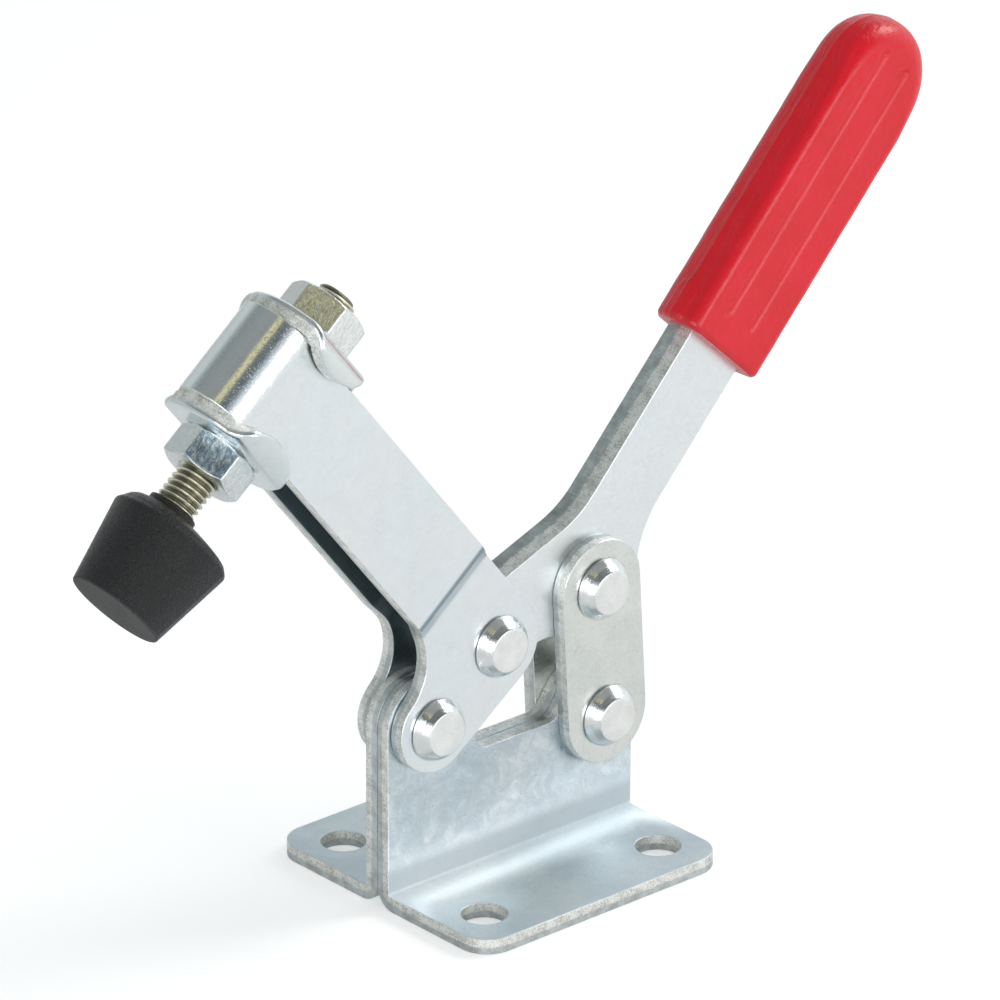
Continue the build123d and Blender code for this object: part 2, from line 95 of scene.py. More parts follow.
FRONT_PIVOT = np.array([-20.5, 0.0, 34.4])
REAR_PIVOT = np.array([20.4, 0.0, 24.6])
ARM_DIRECTION, ARM_CRANK, SPINDLE_AT = 128.4, 19.0, 78.35
along_arm = slanted(ARM_DIRECTION)
up_spindle = slanted(ARM_DIRECTION - 90)
spindle_axis = FRONT_PIVOT + SPINDLE_AT * along_arm
arm_pivot = FRONT_PIVOT + ARM_CRANK * up_spindle

# The lever's two pivots and the links' two pivots are fixed distances apart, so the pivot that
# they share is where two circles cross above the line from the arm pivot to the rear pivot.
HANDLE_CRANK, LINK_LENGTH, SHANK_LEAN = 24.7, 25.65, 37.7
to_rear = REAR_PIVOT - arm_pivot
pivot_gap = np.linalg.norm(to_rear)
near = (HANDLE_CRANK**2 - LINK_LENGTH**2 + pivot_gap**2) / (2 * pivot_gap)
above = math.sqrt(HANDLE_CRANK**2 - near**2)
upward = np.array([-to_rear[2], 0.0, to_rear[0]]) / pivot_gap
link_pivot = arm_pivot + near * to_rear / pivot_gap + above * upward
lever = link_pivot - arm_pivot
shank_angle = math.degrees(math.atan2(lever[2], lever[0])) + SHANK_LEAN
up_shank = slanted(shank_angle)
across_shank = slanted(shank_angle + 90)
print("arm pivot", arm_pivot.round(2), "link pivot", link_pivot.round(2))
print("shank at", round(shank_angle, 2), "degrees")


def placed(local, origin, first, second, third):
    """Points from a local frame: origin plus each coordinate times its axis."""
    local = np.asarray(local, float)
    return origin + local[..., :1] * first + local[..., 1:2] * second + local[..., 2:3] * third


# %% [markdown]
# A new piece here is a grid: closed loops of points, one after another, like the hoops of a
# barrel. Solid ones are capped at both ends, and ring-shaped ones, such as a nut, join their
# last loop to their first. The whole grid is worked out as one array and put into the mesh
# in one call. Afterwards the few doubled points are merged and the faces are turned outward.


# %% Turn grids into meshes
ALMOST_STRAIGHT = 1.56  # half a corner's angle, in radians, past which it isn't rounded


def grid_faces(rows, columns, ring):
    """Four-cornered faces between loop i and i + 1, and column j and j + 1, wrapped round."""
    i, j = np.meshgrid(np.arange(rows if ring else rows - 1), np.arange(columns), indexing="ij")
    right, below = (j + 1) % columns, (i + 1) % rows
    corners = [i * columns + j, i * columns + right, below * columns + right, below * columns + j]
    return np.stack(corners, -1).reshape(-1, 4)


def tidy_mesh(mesh, sharp):
    """Merges doubled points, turns the faces outward, and keeps edges over an angle crisp."""
    work = bmesh.new()
    work.from_mesh(mesh)
    bmesh.ops.remove_doubles(work, verts=work.verts, dist=2e-6)
    bmesh.ops.dissolve_degenerate(work, edges=work.edges, dist=1e-6)
    bmesh.ops.recalc_face_normals(work, faces=work.faces)
    work.to_mesh(mesh)
    work.free()
    mesh.shade_smooth()
    mesh.set_sharp_from_angle(angle=math.radians(sharp))


def piece(name, mesh, body, replaced, material):
    """Puts a mesh in the scene as one piece that rides a body and stands for a solid."""
    made = in_scene(name, mesh)
    mesh.materials.clear()
    mesh.materials.append(material)
    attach(made, body)
    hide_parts(replaced)
    return made


def eased(share):
    """A share from 0 to 1 with soft ends."""
    return share * share * (3 - 2 * share)


def keep_number(mesh, name, domain, numbers):
    """Stores one number a face or point under a name that a finish can read."""
    kept = mesh.attributes.new(name, "FLOAT", domain)
    kept.data.foreach_set("value", np.ravel(numbers).astype(np.float32))


def looped(name, loops, ring=False, sharp=40, numbers=None):
    """A mesh from loops of points in millimetres; ring joins the last loop to the first.

    numbers maps a name to one number a point, which a finish can read."""
    rows, columns, _ = loops.shape
    faces = grid_faces(rows, columns, ring).tolist()
    if not ring:
        faces += [list(range(columns)), list(range((rows - 1) * columns, rows * columns))]
    mesh = bpy.data.meshes.new(name)
    mesh.from_pydata((loops.reshape(-1, 3) * MM).tolist(), [], faces)
    for key, values in (numbers or {}).items():
        keep_number(mesh, key, "POINT", values)
    tidy_mesh(mesh, sharp)
    print(f"{name}: {len(mesh.polygons)} faces")
    return mesh


def rounded_path(corners, radii, steps=6):
    """A polyline with each inner corner replaced by an arc that touches both its sides."""
    corners = np.asarray(corners, float)
    out = [corners[:1]]
    for before, corner, after, radius in zip(corners, corners[1:], corners[2:], radii):
        a, b = before - corner, after - corner
        a, b = a / np.linalg.norm(a), b / np.linalg.norm(b)
        half = math.acos(np.clip(a @ b, -1, 1)) / 2
        if radius <= 0 or half > ALMOST_STRAIGHT:
            out.append(corner[None])
            continue
        middle = corner + (a + b) / np.linalg.norm(a + b) * radius / math.sin(half)
        start = corner + a * radius / math.tan(half) - middle
        end = corner + b * radius / math.tan(half) - middle
        t = np.linspace(0, 1, steps + 1)[:, None]
        sweep = math.pi - 2 * half
        arc = (np.sin((1 - t) * sweep) * start + np.sin(t * sweep) * end) / math.sin(sweep)
        out.append(middle + arc)
    out.append(corners[-1:])
    return np.concatenate(out)


# %% [markdown]
# Surface detail is worked out from the place in space of each point, so nothing stretches
# where a surface bends. The sums are written as plain expressions: a small class wraps the
# output of a node, and adding or multiplying two of them adds the node that does it.


# %% Expressions on shader values
class Value:
    """The output of a shader node, with arithmetic that adds Math nodes."""

    def __init__(self, recipe, socket):
        self.recipe, self.socket = recipe, socket

    def math(self, operation, *others):
        inputs = dict(enumerate((self, *others)))
        return self.recipe.node("ShaderNodeMath", {"operation": operation}, inputs)

    def __add__(self, other):
        return self.math("ADD", other)

    def __mul__(self, other):
        return self.math("MULTIPLY", other)

    def __sub__(self, other):
        return self.math("SUBTRACT", other)

    def __rsub__(self, other):
        return self.recipe.node("ShaderNodeMath", {"operation": "SUBTRACT"}, {0: other, 1: self})

    def __pow__(self, other):
        return self.math("POWER", other)

    def __abs__(self):
        return self.math("ABSOLUTE")

    __radd__ = __add__
    __rmul__ = __mul__

    def between(self, low, high):
        """0 below low, 1 above high, and a smooth rise between them."""
        settings = {"interpolation_type": "SMOOTHSTEP"}
        return self.recipe.node("ShaderNodeMapRange", settings, {0: self, 1: low, 2: high})

    def band(self, low, full, past, high):
        """1 from full to past, 0 below low and above high, and smooth between."""
        return self.between(low, full) * (1 - self.between(past, high))


class Recipe:
    def __init__(self, name, tree=None):
        self.material = None
        if tree is None:
            self.material = bpy.data.materials.new(name)
            self.material.use_nodes = True
            tree = self.material.node_tree
            self.shader = tree.nodes["Principled BSDF"]
        self.tree = tree

    def node(self, kind, settings=None, inputs=None, output=0):
        """Adds a node of a kind, sets its settings, then gives its sockets values or links."""
        made = self.tree.nodes.new(kind)
        for key, setting in (settings or {}).items():
            if key == "stops":
                ramp = made.color_ramp
                while len(ramp.elements) < len(setting):
                    ramp.elements.new(0.5)
                for element, (place, colour) in zip(ramp.elements, setting):
                    element.position, element.color = place, (*colour, 1)
            else:
                setattr(made, key, setting)
        for key, value in (inputs or {}).items():
            self.feed(made.inputs[key], value)
        return Value(self, made.outputs[output])

    def feed(self, socket, value):
        """Links a value to a socket, or sets the socket to a number or colour."""
        if isinstance(value, Value):
            self.tree.links.new(value.socket, socket)
        elif isinstance(value, tuple) and len(value) == 3 and socket.type == "RGBA":
            socket.default_value = (*value, 1)
        else:
            socket.default_value = value

    def place(self):
        """The place of the shaded point, in millimetres, in the frame of the whole clamp."""
        place = self.node("ShaderNodeTexCoord", output="Object")
        return self.tinted(place, 1 / MM)

    def along(self, direction, origin=(0, 0, 0)):
        """How far the shaded point is along a direction from an origin, in millimetres."""
        inputs = {0: self.place(), 1: tuple(origin)}
        apart = self.node("ShaderNodeVectorMath", {"operation": "SUBTRACT"}, inputs)
        return self.dot(apart, direction)

    def dot(self, first, second):
        """The dot product of a vector and a fixed direction."""
        inputs = {0: first, 1: tuple(second)}
        return self.node("ShaderNodeVectorMath", {"operation": "DOT_PRODUCT"}, inputs, "Value")

    def noise(self, size, detail, roughness, stretch=(1, 1, 1), turn=(0, 0, 0), distortion=0.0):
        """Noise with blobs about size millimetres across, times stretch along each axis."""
        mapped = {0: self.place(), 2: turn, 3: stretch}
        spot = self.node("ShaderNodeMapping", {"vector_type": "TEXTURE"}, mapped)
        inputs = {0: spot, "Scale": 1 / size, "Detail": detail, "Roughness": roughness}
        return self.node("ShaderNodeTexNoise", {}, {**inputs, "Distortion": distortion})

    def marks(self, name):
        """A number that the mesh keeps for each of its faces or points."""
        return self.node("ShaderNodeAttribute", {"attribute_name": name}, output="Fac")

    def blend(self, factor, first, second):
        """The first colour where the factor is 0 and the second where it is 1."""
        inputs = {0: factor, 6: first, 7: second}
        return self.node("ShaderNodeMix", {"data_type": "RGBA"}, inputs, output=2)

    def tinted(self, colour, factor):
        """A colour, or a vector, times a factor."""
        inputs = {0: colour, "Scale": factor}
        return self.node("ShaderNodeVectorMath", {"operation": "SCALE"}, inputs)

    def relief(self, height, depth):
        """A bump from a height in units of 1, where 1 stands for depth millimetres."""
        inputs = {"Strength": 1.0, "Distance": depth * MM, "Height": height}
        return self.node("ShaderNodeBump", {}, inputs)

    def finish(self, **inputs):
        """Sets the shader's sockets by name, with spaces written as underscores."""
        for key, value in inputs.items():
            self.feed(self.shader.inputs[key.replace("_", " ")], value)
        return self.material


print("shader expressions ready")

# %% [markdown]
# Bright zinc plate is a mirror that never came out quite flat. It shows soft clouds where the
# bath was uneven, a fine crystalline grain that sparkles, and a few hairlines from handling.
# A sheared edge looks different: the punch first drags the metal to a smooth, darker band,
# then tears it, and the torn band is rough and grey. Both finishes are one recipe here, and
# two numbers kept by the mesh say which one shows: "sheared", and "depth" through the sheet.


# %% The rolled face of zinc sheet
def sheet_face(r, pale, dull, gloss, mottle):
    """Colour, roughness and height of a face: clouds, patches, crystals, grain, hairlines."""
    clouds = r.noise(15, 3, 0.55)
    patches = r.noise(3.4, 3, 0.6)
    crystals = r.noise(0.95, 3, 0.65, distortion=1.2)
    grain = r.noise(0.40, 2, 0.6)
    flecks = r.noise(0.8, 2, 0.5, stretch=(1, 2, 1)).between(0.66, 0.74)
    lines = r.noise(0.5, 1, 0.4, stretch=(26, 6, 1), turn=(0.0, -0.6, 0)).between(0.69, 0.75)
    tint = 0.93 + 0.10 * clouds + (0.04 + 0.10 * mottle) * patches + 0.06 * (grain - 0.5)
    tint = tint + mottle * 0.42 * (crystals - 0.5) - 0.02 * lines - 0.10 * mottle * flecks
    colour = r.tinted(r.blend(clouds.between(0.35, 0.65), pale, dull), tint)
    rough = gloss + 0.08 * (patches - 0.5) + 0.14 * (grain - 0.5)
    rough = rough + 0.2 * mottle * (crystals - 0.5)
    height = 0.6 * grain + (0.5 + 1.1 * mottle) * crystals + 0.8 * patches - 0.10 * lines
    return colour, rough, height


print("face of zinc sheet ready")

# %% [markdown]
# Two pieces have more to tell. The base drifts into a deeper blue on its upright, its flange
# is duller, and painted shade darkens the hollow of its bend. The arm was drawn tight round its
# nose, which polished it and left a few pits. Painted shade darkens its joggle's slope and
# crease, and the faces between its legs, where little light gets. Each is a function that takes
# a face's colour, roughness and height, changes them by place, and gives them back.


# %% Wear and painted shade of the base and the arm
def base_tone_and_shade(r, colour, rough, height):
    """Changes by height over the floor: a duller flange, painted shade in the bend, a clouded
    upright.
    """
    up = r.along((0, 0, 1))
    upright = up.between(6.5, 11.0)
    drift = r.noise(5.0, 4, 0.65, distortion=0.8).between(0.32, 0.62)
    clouded = upright * (1 - up.between(24.0, 31.0)) * (0.10 + 0.62 * drift)
    colour = r.blend(clouded, colour, (0.50, 0.58, 0.63))
    colour = r.blend((1 - upright) * 0.40, colour, (0.62, 0.69, 0.72))
    # Painted shade: a darker band over the hollow of the bend and the foot of the upright.
    colour = r.blend(up.band(3.2, 3.8, 6.5, 9.0) * 0.45, colour, (0.40, 0.45, 0.48))
    return colour, rough + 0.26 * (1 - upright), height


def arm_wear_and_shade(r, colour, rough, height):
    """Changes along the arm and through it: painted shade on the joggle and between the legs, and
    the drawn, pitted nose.
    """
    along, off_middle = r.along(along_arm, FRONT_PIVOT), abs(r.along(SIDE))
    nose = along.between(82.0, 85.0)
    pits = nose * r.noise(0.34, 2, 0.6).between(0.55, 0.72)
    # Painted shade: the joggle's slope and crease are darkened in the colour.
    slope = along.band(16.2, 17.6, 19.4, 20.6) * off_middle.between(5.9, 6.2)
    crease = along.band(19.0, 19.9, 20.1, 21.0) * off_middle.between(6.9, 7.2)
    colour = r.blend(slope * 0.50 + crease * 0.90, colour, (0.30, 0.38, 0.43))
    # Painted shade on the faces between the legs, where little light gets.
    painted_shade_between_legs = 1 - r.marks("depth").between(0.02, 0.3)
    colour = r.blend(painted_shade_between_legs * 0.80, colour, (0.20, 0.27, 0.29))
    rough = rough - 0.14 * nose + 0.10 * pits
    return colour, rough, height * (1 - 0.55 * nose) + pits * 0.5


print("wear of the base and the arm ready")

# %% [markdown]
# The cut edge is the other half of the recipe. The depth through the sheet, shaken by two
# noises so that the border is ragged, says where the dragged band ends and the torn one
# starts. The dragged band has fine striae along the punch's stroke, and the torn one crumbs.


# %% Cut edges and the whole finish
def sheared_edge(r, gloss, torn_from):
    """Colour, roughness and height of a cut edge, by the depth where its torn band starts."""
    ragged = r.noise(1.3, 3, 0.6, stretch=(1, 2, 1))
    jagged = r.noise(0.5, 2, 0.5)
    depth = r.marks("depth") + 0.26 * (ragged - 0.5) + 0.22 * (jagged - 0.5)
    torn = depth.between(torn_from - 0.04, torn_from + 0.04)
    striae = r.noise(0.26, 3, 0.6, stretch=(1, 16, 1)).between(0.34, 0.66)
    crumbs = r.noise(0.34, 3, 0.7).between(0.36, 0.68)
    stains = r.noise(2.4, 3, 0.6).between(0.35, 0.65)
    tint = 0.70 + 0.16 * striae + 0.26 * stains + torn * 0.36 * (crumbs - 0.45)
    colour = r.tinted(r.blend(torn, (0.64, 0.68, 0.68), (0.94, 0.95, 0.91)), tint)
    rough = gloss + 0.12 * torn + 0.08 * striae - 0.14 * crumbs * torn
    return colour, rough, striae * (0.5 - 0.2 * torn) + torn * 2.3 * crumbs


def zinc_sheet(name, pale, dull, gloss, mottle, torn_from=0.45, edge_gloss=0.32, wear_and_shade=None):
    """Zinc plate for a sheet piece: its face, any changes by place, painted shade among them, and
    its cut edges.
    """
    r = Recipe(name)
    face = sheet_face(r, pale, dull, gloss, mottle)
    if wear_and_shade:
        face = wear_and_shade(r, *face)
    edge = sheared_edge(r, edge_gloss, torn_from)
    sheared = r.marks("sheared")
    rough, height = [a + sheared * (b - a) for a, b in zip(face[1:], edge[1:])]
    return r.finish(
        Base_Color=r.blend(sheared, face[0], edge[0]),
        Metallic=1.0,
        Roughness=rough,
        Normal=r.relief(height, 0.020),
    )


BLUISH, BLUISH_DULL = (0.79, 0.85, 0.87), (0.62, 0.71, 0.76)
SILVER = (0.91, 0.94, 0.95)
GREENISH, GREENISH_DULL = (0.84, 0.86, 0.83), (0.75, 0.78, 0.75)
base_zinc = zinc_sheet("base_zinc", BLUISH, BLUISH_DULL, 0.30, 1.0, wear_and_shade=base_tone_and_shade)
arm_zinc = zinc_sheet("arm_zinc", SILVER, (0.86, 0.915, 0.94), 0.31, 0.3, wear_and_shade=arm_wear_and_shade)
lever_zinc = zinc_sheet("lever_zinc", SILVER, (0.86, 0.91, 0.93), 0.33, 0.5, torn_from=0.50)
link_zinc = zinc_sheet("link_zinc", GREENISH, GREENISH_DULL, 0.30, 0.6)
print("sheet finishes:", [m.name for m in (base_zinc, arm_zinc, lever_zinc, link_zinc)])

# %% [markdown]
# Turned and pressed hardware is plated in a barrel, so its high places are tumbled bright and
# its corners are a little paler. One flat of each nut has a colour of its own, in streaks: the
# upper nut's is straw and the lower nut's steel-blue, and the mesh keeps a number to say which.
# The spindle came out of a yellower bath, and its thread's roots carry painted shade. A rivet
# head has a third look: the peening tool polishes the bevel in patches and leaves the flat top
# matt, and a line of painted shade runs round its foot. The washers are sheet, so they take
# the sheet's finish with rougher edges.


# %% Finishes of the hardware
def zinc_hardware(name, colour, gloss, depth, cloud=9, shade_roots=False, flat_colour=None):
    """Barrel-plated zinc: blotches, fine tool marks in one slanting direction, and grain, with
    painted shade in a thread's roots where asked.
    """
    r = Recipe(name)
    tool_turn = (0.2, 0.65, 0.4)
    blotches = r.noise(cloud, 3, 0.6)
    grain = r.noise(0.38, 3, 0.65)
    tooling = r.noise(0.14, 2, 0.5, stretch=(1, 1, 16), turn=tool_turn).between(0.38, 0.62)
    tint = 0.76 + 0.20 * blotches + 0.50 * (grain - 0.5) + 0.16 * tooling
    # One flat of a nut takes a colour of its own, in streaks, where the mesh marks it.
    if flat_colour:
        streaks = r.noise(0.55, 4, 0.75, stretch=(1, 1, 2.4), turn=tool_turn)
        stained = r.marks("stained")
        colour = r.blend(stained * (0.50 + 0.50 * streaks.between(0.40, 0.62)), colour, flat_colour)
        tint = tint + stained * 0.55 * (grain - 0.5)
    # Painted shade: the thread's roots, near the axis, are darkened in the colour.
    if shade_roots:
        out, side = r.along(along_arm, spindle_axis), r.along(SIDE)
        from_axis = (out * out + side * side) ** 0.5
        tint = tint * (0.30 + 0.72 * from_axis.between(3.3, 3.85))
    return r.finish(
        Base_Color=r.tinted(colour, tint),
        Metallic=1.0,
        Roughness=gloss + 0.16 * (grain - 0.5) + 0.12 * (blotches - 0.5),
        Normal=r.relief(grain * 1.6 + tooling * 0.5 + blotches * 0.6, depth),
    )


def rivet_zinc():
    """A rivet's finish: matt pale top, polished patchy bevel, and a line of painted shade at its
    foot.
    """
    r = Recipe("rivet_zinc")
    off_middle = abs(r.along(SIDE))
    top = off_middle.between(8.86, 8.97)
    # Painted shade: a dark line round the foot of the head, where it meets the plate.
    foot = 1 - off_middle.between(6.2, 6.42)
    grain = r.noise(0.30, 3, 0.65)
    patches = r.noise(2.6, 2, 0.6, stretch=(1, 2, 1))
    tint = 0.84 + 0.22 * patches + (0.10 + 0.26 * top) * (grain - 0.5) - 0.60 * foot
    colour = r.tinted(r.blend(top, (0.88, 0.90, 0.90), (0.97, 0.98, 0.96)), tint)
    rough = 0.19 + 0.19 * top + 0.14 * (patches - 0.5) + 0.18 * (grain - 0.5)
    level = grain * (0.7 + 1.6 * top) + patches * 3.0
    return r.finish(Base_Color=colour, Metallic=1.0, Roughness=rough, Normal=r.relief(level, 0.022))


head_zinc = rivet_zinc()
STRAW_FLAT, STEEL_FLAT = (1.0, 0.95, 0.62), (0.20, 0.30, 0.38)
upper_nut_zinc = zinc_hardware("upper_nut_zinc", (0.93, 0.96, 0.94), 0.20, 0.045, flat_colour=STRAW_FLAT)
lower_nut_zinc = zinc_hardware("lower_nut_zinc", (0.90, 0.95, 0.96), 0.20, 0.045, flat_colour=STEEL_FLAT)
thread_zinc = zinc_hardware("thread_zinc", (0.86, 0.83, 0.66), 0.22, 0.012, 3, shade_roots=True)
WASHER_PALE, WASHER_DULL = (0.86, 0.90, 0.90), (0.78, 0.84, 0.85)
washer_zinc = zinc_sheet("washer_zinc", WASHER_PALE, WASHER_DULL, 0.22, 0.4, -1, edge_gloss=0.52)
print("hardware finishes ready")

# %% [markdown]
# The tip is moulded rubber: nearly black, satin on its flank where the mould was polished,
# and grainy and a shade lighter on the face that grips the work, with a few pale specks of
# dust. The grip is dipped vinyl: thick, even red with a soft gloss, wrinkles on its narrow
# sides where it cooled on the shank, and a colour that is deeper at the mouth.


# %% Rubber and vinyl
def tip_rubber():
    """Black rubber with a satin flank, a grainy face, and specks."""
    r = Recipe("tip_rubber")
    up = r.along(up_spindle, FRONT_PIVOT)
    face = 1 - up.between(-27.75, -27.45)
    neck = up.between(-10.6, -8.8)
    grain = r.noise(0.28, 3, 0.6)
    swirl = r.noise(4.5, 3, 0.6, stretch=(1, 1, 2))
    specks = r.noise(0.55, 1, 0.4).between(0.70, 0.76)
    colour = r.blend(face, (0.004, 0.004, 0.005), (0.046, 0.046, 0.047))
    colour = r.blend(neck, colour, (0.022, 0.023, 0.015))
    colour = r.tinted(colour, 0.75 + 0.5 * swirl + (0.9 + 2.4 * face) * (grain - 0.5))
    colour = r.blend(specks * (0.18 + 0.4 * face), colour, (0.15, 0.15, 0.15))
    rough = 0.29 + 0.26 * face + 0.50 * (grain - 0.5) + 0.30 * (swirl - 0.5)
    height = grain * (2.3 + 1.6 * face) + 1.0 * swirl
    return r.finish(Base_Color=colour, Roughness=rough, Normal=r.relief(height, 0.13))


def grip_vinyl():
    """Red vinyl: soft clouds of colour, painted shade on the narrow sides, faint long wrinkles, and
    fine orange peel.
    """
    r = Recipe("grip_vinyl")
    up = r.along(up_shank, link_pivot)
    clouds = r.noise(11, 3, 0.5)
    peel = r.noise(0.9, 3, 0.55)
    tilt = (0, -math.radians(shank_angle), 0)
    wrinkles = r.noise(1.5, 3, 0.6, stretch=(4.5, 1, 1), turn=tilt, distortion=0.6)
    fine = r.noise(0.25, 2, 0.5)
    narrow = 1 - abs(r.along(SIDE)).between(3.2, 5.4)
    colour = r.blend(clouds.between(0.3, 0.7), (0.80, 0.003, 0.020), (0.74, 0.002, 0.013))
    # Painted shade: the narrow sides are a little darker in the colour.
    colour = r.blend(narrow * 0.2, colour, (0.74, 0.003, 0.014))
    mouth = 1 - up.between(47.5, 49.2)
    colour = r.blend(mouth * 0.35, colour, (0.42, 0.006, 0.014))
    height = wrinkles * (0.45 + 2.0 * narrow) + 0.60 * peel + 0.12 * fine
    rough = 0.35 - 0.02 * narrow + 0.14 * (peel - 0.5) + 0.10 * (clouds - 0.5)
    return r.finish(
        Base_Color=colour,
        Roughness=rough,
        Coat_Weight=0.20,
        Coat_Roughness=0.15,
        Normal=r.relief(height, 0.15),
    )


black_rubber = tip_rubber()
red_vinyl = grip_vinyl()
print("soft finishes ready")

# %% [markdown]
# The stamped pieces keep the outlines of their solids, but real sheet has no knife edges: the
# press rounds one edge and the tumbling barrel takes the rest. Each is a copy of its solid,
# merged from loose triangles, with its flat faces joined up and every hard edge rolled by a
# quarter of a millimetre.

# %% Soften a stamped piece
EDGE_ROLL = 0.26
HARD_ANGLE, FLAT_ANGLE = math.radians(32), math.radians(0.6)


def softened(node):
    """A merged copy of a solid's mesh, in the clamp's frame, with its hard edges rolled."""
    mesh = nodes[node].data.copy()
    work = bmesh.new()
    work.from_mesh(mesh)
    bmesh.ops.remove_doubles(work, verts=work.verts, dist=5e-6)
    bmesh.ops.dissolve_limit(work, angle_limit=FLAT_ANGLE, verts=work.verts, edges=work.edges)
    shared = [e for e in work.edges if len(e.link_faces) == 2]
    hard = [e for e in shared if e.calc_face_angle_signed(0) > HARD_ANGLE]
    shape = {"segments": 3, "profile": 0.55, "affect": "EDGES", "clamp_overlap": True}
    bmesh.ops.bevel(work, geom=hard, offset=EDGE_ROLL * MM, **shape)
    bmesh.ops.recalc_face_normals(work, faces=work.faces)
    bmesh.ops.triangulate(work, faces=[f for f in work.faces if len(f.verts) > 4])
    work.to_mesh(mesh)
    work.free()
    mesh.shade_smooth()
    return mesh


def face_facts(mesh):
    """Centres and normals of the faces and places of the points, in millimetres, as arrays."""
    centres = np.empty(len(mesh.polygons) * 3)
    normals = np.empty(len(mesh.polygons) * 3)
    points = np.empty(len(mesh.vertices) * 3)
    mesh.polygons.foreach_get("center", centres)
    mesh.polygons.foreach_get("normal", normals)
    mesh.vertices.foreach_get("co", points)
    return centres.reshape(-1, 3) / MM, normals.reshape(-1, 3), points.reshape(-1, 3) / MM


def in_arm(points):
    """Places along the arm, across it and up the spindle, seen from the front pivot."""
    apart = points - FRONT_PIVOT
    return apart @ along_arm, points[:, 1], apart @ up_spindle


print("stamped pieces can be softened")

# %% [markdown]
# Which faces were sheared, and how deep a point lies in the sheet, follow from each piece's
# drawing, and numpy works out both for the finish. A cut face looks along the sheet, so its
# normal has no large part across it. Depth is the way through the sheet from one of its
# sides, as a share of it. In the bends it goes with the distance from the bend's centre.


# %% Mark the sheared edges
SHEET, HALF_GAP, BASE_BEND = 3.0, 0.05, 1.0
WEB_FOOT, FLANGE_ROOT = 7.2, 8.0
LUG_INNER, LEG_INNER, LEVER_HALF = 3.1, 4.8, 3.0
EYES_END, JOGGLE_START, JOGGLE_LENGTH, NOSE_CENTRE = 15.5, 16.6, 3.4, 84.1
LOOKS_ACROSS = 0.6  # a normal's least part in a direction for its face to look that way


def base_marks(centres, normals, points):
    """A base plate: sheared where it faces fore or aft, and round its web, flange and holes."""
    z, y = centres[:, 2], abs(centres[:, 1])
    facing = abs(normals) > LOOKS_ACROSS
    sheared = facing[:, 0] | ((z > WEB_FOOT) & ~facing[:, 1])
    sheared |= (z < SHEET + 0.2) & (y > FLANGE_ROOT) & ~facing[:, 2]
    y, z = abs(points[:, 1]), points[:, 2]
    bend_y, bend_z = HALF_GAP + SHEET + BASE_BEND, SHEET + BASE_BEND
    in_bend = 1 - (np.hypot(y - bend_y, z - bend_z) - BASE_BEND) / SHEET
    in_web, in_flange = (y - HALF_GAP) / SHEET, z / SHEET
    return sheared, np.where(z > bend_z, in_web, np.where(y > bend_y, in_flange, in_bend))


def arm_marks(centres, normals, points):
    """The arm: sheared along the strip's two edges and round both eyes."""
    u, _, _ = in_arm(centres)
    sheared = abs(normals @ up_spindle) > LOOKS_ACROSS
    sheared |= (u < EYES_END) & (abs(normals[:, 1]) < LOOKS_ACROSS)
    u, y, _ = in_arm(points)
    down_joggle = np.clip((u - JOGGLE_START) / JOGGLE_LENGTH, 0, 1)
    inner = LUG_INNER + (LEG_INNER - LUG_INNER) * down_joggle
    across = np.where(u > NOSE_CENTRE, np.hypot(u - NOSE_CENTRE, y), abs(y))
    return sheared, (across - inner) / SHEET


def lever_marks(centres, normals, points):
    """The lever is one thick bar: sheared all round, with its torn band on the left side."""
    return abs(normals[:, 1]) < LOOKS_ACROSS, (LEVER_HALF - points[:, 1]) / (2 * LEVER_HALF)


def link_marks(centres, normals, points):
    """A link: sheared all round."""
    return abs(normals[:, 1]) < LOOKS_ACROSS, (abs(points[:, 1]) - LUG_INNER) / SHEET


def stamped(node, body, marks, material):
    """Softens a solid's copy, marks it, and lets it stand for the solid."""
    mesh = softened(node)
    sheared, depth = marks(*face_facts(mesh))
    keep_number(mesh, "sheared", "FACE", sheared)
    keep_number(mesh, "depth", "POINT", np.clip(depth, 0, 1))
    made = piece(node + "_plate", mesh, body, node, material)
    evening = made.modifiers.new("even shading", "WEIGHTED_NORMAL")
    evening.keep_sharp = True
    evening.weight = 70
    print(f"{made.name}: {len(mesh.polygons)} faces, {int(sheared.sum())} sheared")


for side in ("left", "right"):
    stamped(f"base_plate_{side}", "base", base_marks, base_zinc)
    stamped(f"link_{side}", "link", link_marks, link_zinc)
stamped("clamp_arm", "arm", arm_marks, arm_zinc)
stamped("handle_lever", "handle", lever_marks, lever_zinc)

# %% [markdown]
# The four rivets are solid. Each is a round bar set in the press, so its head has a flat top,
# a bevel with a slight belly, and a thin rim that presses on the plate. The whole rivet is one
# profile turned about its axis, with small arcs at its corners so that they catch the light.

# %% Rivets
HEAD_SEAT, HEAD_HEIGHT, RIM_HEIGHT = 6.15, 2.85, 0.6
HEAD_RADIUS, TOP_RADIUS, RIVET_SHANK, LINK_RIVET_SHANK = 5.86, 4.1, 3.5, 2.75
HEAD_ROUNDS = [0, 0.12, 0.34, 1.8, 0.75, 0]


def turned_profile(radii, levels, columns):
    """Loops of a turned shape: at each level, a circle of that radius, in a local frame."""
    angle = np.linspace(0, 2 * math.pi, columns, endpoint=False)
    radii, levels = np.asarray(radii, float)[:, None], np.asarray(levels, float)[:, None]
    return np.stack([radii * np.cos(angle), radii * np.sin(angle), levels + 0 * angle], -1)


